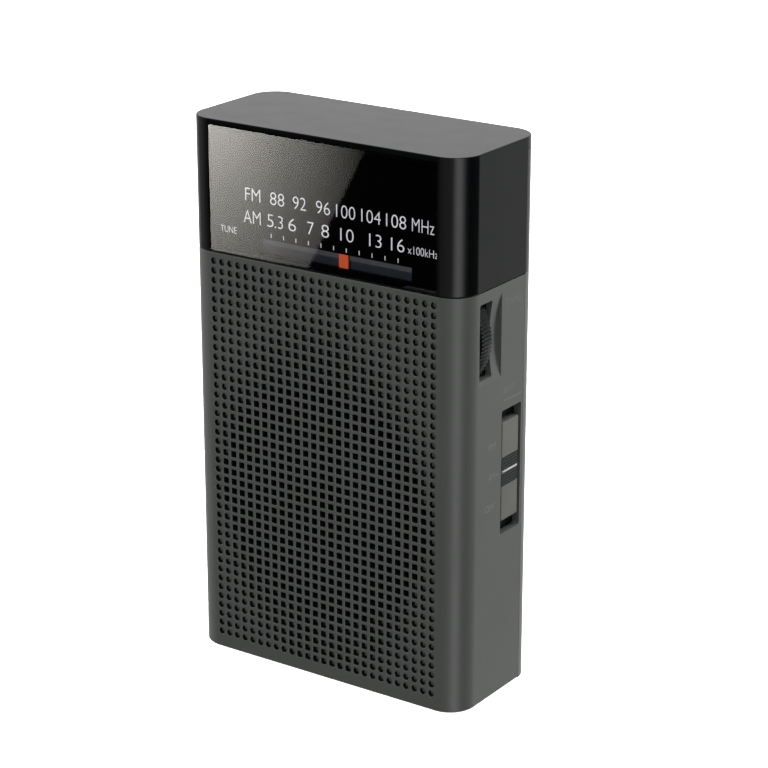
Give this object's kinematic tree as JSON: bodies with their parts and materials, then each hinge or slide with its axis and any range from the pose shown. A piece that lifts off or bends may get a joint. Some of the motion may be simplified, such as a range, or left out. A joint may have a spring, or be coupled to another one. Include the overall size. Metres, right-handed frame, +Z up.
{
  "type": "transistor pocket radio",
  "caption": "Slim upright AM/FM pocket radio with a punched speaker front, black dial cap, side tuning wheel, sliding band switch, battery door and telescopic aerial.",
  "frame": {"origin": "middle of the flat underside, halfway across the cabinet's width and depth", "axes": "+Z up through the cap, -Y out of the speaker front, +X towards the tuning wheel's side"},
  "size_m": [0.07, 0.035, 0.119],
  "materials": {
    "grey_body": "dark grey, satin painted",
    "black_cap": "black, semi-gloss",
    "window_acrylic": "clear window, black printed behind",
    "dial_black": "printed black",
    "rail_grey": "moulded",
    "pointer_orange": "moulded",
    "cord_fibre": "braided",
    "white_plastic": "moulded",
    "wheel_black": "moulded",
    "knob_grey": "satin",
    "brass": "turned",
    "steel": "plated",
    "screw_black": "blacked",
    "chromed_brass": "polished",
    "phenolic": "pressed",
    "board_green": "solder mask",
    "ferrite": "ground",
    "copper_wire": "enamelled",
    "chip_black": "moulded",
    "can_blue": "sleeved",
    "led_red": "tinted",
    "felt": "woven",
    "cone_paper": "pressed",
    "cell_jacket": "printed jacket",
    "lead_red": "insulated",
    "lead_black": "insulated"
  },
  "bodies": {
    "cabinet": {"front_cabinet": "grey_body", "upper_cap": "black_cap", "rear_cabinet": "grey_body", "dial_window": "window_acrylic", "dial_plate": "dial_black", "dial_chassis": "rail_grey", "dial_cord": "cord_fibre", "tuning_capacitor": "white_plastic", "volume_control": "phenolic", "band_switch": "steel", "earphone_jack": "wheel_black", "main_board": "board_green", "ferrite_rod": "ferrite", "ferrite_coil": "copper_wire", "ferrite_holders": "white_plastic", "radio_chip": "chip_black", "electrolytic_capacitors": "can_blue", "tuning_coils": "steel", "tuning_led": "led_red", "speaker_felt": "felt", "speaker_frame": "steel", "speaker_cone": "cone_paper", "speaker_magnet": "ferrite", "speaker_clips": "steel", "speaker_screws": "steel", "board_screws": "steel", "cabinet_screws": "screw_black", "battery_cell_upper": "cell_jacket", "battery_cell_lower": "cell_jacket", "battery_springs": "steel", "contact_bridge": "steel", "contact_terminals": "steel", "speaker_leads": "lead_red", "battery_leads": "lead_red", "antenna_lead": "lead_black"},
    "tuning": {"tuning_wheel": "wheel_black", "drive_drum": "white_plastic", "tuning_shaft": "brass", "tuning_screw": "steel"},
    "pointer": {"dial_pointer": "pointer_orange"},
    "pulley_left": {"cord_pulley_left": "white_plastic"},
    "pulley_right": {"cord_pulley_right": "white_plastic"},
    "volume": {"volume_wheel": "wheel_black", "volume_screw": "steel"},
    "band": {"band_switch_knob": "knob_grey", "switch_actuator": "wheel_black"},
    "door": {"battery_door": "grey_body"},
    "aerial_base": {"antenna_swivel": "chromed_brass", "antenna_pin": "chromed_brass", "antenna_washer": "brass", "antenna_screw": "steel"},
    "mast_1": {"antenna_knuckle": "chromed_brass", "antenna_section_1": "chromed_brass"},
    "mast_2": {"antenna_section_2": "chromed_brass"},
    "mast_3": {"antenna_section_3": "chromed_brass"},
    "mast_4": {"antenna_section_4": "chromed_brass"},
    "mast_5": {"antenna_section_5": "chromed_brass"},
    "mast_6": {"antenna_section_6": "chromed_brass", "antenna_tip": "chromed_brass"}
  },
  "joints": [
    {"name": "tuning_spin", "type": "hinge", "parent": "cabinet", "child": "tuning", "pos_m": [0.0215, -0.00577, 0.08], "axis": [0, 1, 0], "range_deg": [-101.18, 79.3]},
    {"name": "pointer_slide", "type": "slide", "parent": "cabinet", "child": "pointer", "axis": [1, 0, 0], "range_m": [-0.01776, 0.01394]},
    {"name": "pulley_left_spin", "type": "hinge", "parent": "cabinet", "child": "pulley_left", "pos_m": [-0.02, -0.00885, 0.092], "axis": [0, 1, 0], "range_deg": [-506.9, 397.5]},
    {"name": "pulley_right_spin", "type": "hinge", "parent": "cabinet", "child": "pulley_right", "pos_m": [0.028, -0.00885, 0.092], "axis": [0, 1, 0], "range_deg": [-506.9, 397.5]},
    {"name": "volume_spin", "type": "hinge", "parent": "cabinet", "child": "volume", "pos_m": [-0.026, -0.0056, 0.076], "axis": [0, 1, 0], "range_deg": [-135, 135]},
    {"name": "band_slide", "type": "slide", "parent": "cabinet", "child": "band", "axis": [0, 0, 1], "range_m": [-0.0026, 0.0026]},
    {"name": "battery_door_hinge", "type": "hinge", "parent": "cabinet", "child": "door", "pos_m": [-0.0032, 0.0133, 0.0053], "axis": [-1, 0, 0], "range_deg": [0, 90]},
    {"name": "aerial_swing", "type": "hinge", "parent": "cabinet", "child": "aerial_base", "pos_m": [0.022, 0.013, 0.1095], "axis": [0, 1, 0], "range_deg": [0, 180]},
    {"name": "aerial_tilt", "type": "hinge", "parent": "aerial_base", "child": "mast_1", "pos_m": [0.022, 0.0177, 0.1095], "axis": [0, 0, -1], "range_deg": [0, 90]},
    {"name": "mast_slide_2", "type": "slide", "parent": "mast_1", "child": "mast_2", "axis": [-1, 0, 0], "range_m": [0, 0.035]},
    {"name": "mast_slide_3", "type": "slide", "parent": "mast_2", "child": "mast_3", "axis": [-1, 0, 0], "range_m": [0, 0.035]},
    {"name": "mast_slide_4", "type": "slide", "parent": "mast_3", "child": "mast_4", "axis": [-1, 0, 0], "range_m": [0, 0.035]},
    {"name": "mast_slide_5", "type": "slide", "parent": "mast_4", "child": "mast_5", "axis": [-1, 0, 0], "range_m": [0, 0.035]},
    {"name": "mast_slide_6", "type": "slide", "parent": "mast_5", "child": "mast_6", "axis": [-1, 0, 0], "range_m": [0, 0.035]}
  ],
  "couplings": [
    {"joint": "pointer_slide", "follows": "tuning_spin", "m_per_rad": 0.01},
    {"joint": "pulley_left_spin", "follows": "tuning_spin", "ratio": 5},
    {"joint": "pulley_right_spin", "follows": "tuning_spin", "ratio": 5}
  ]
}
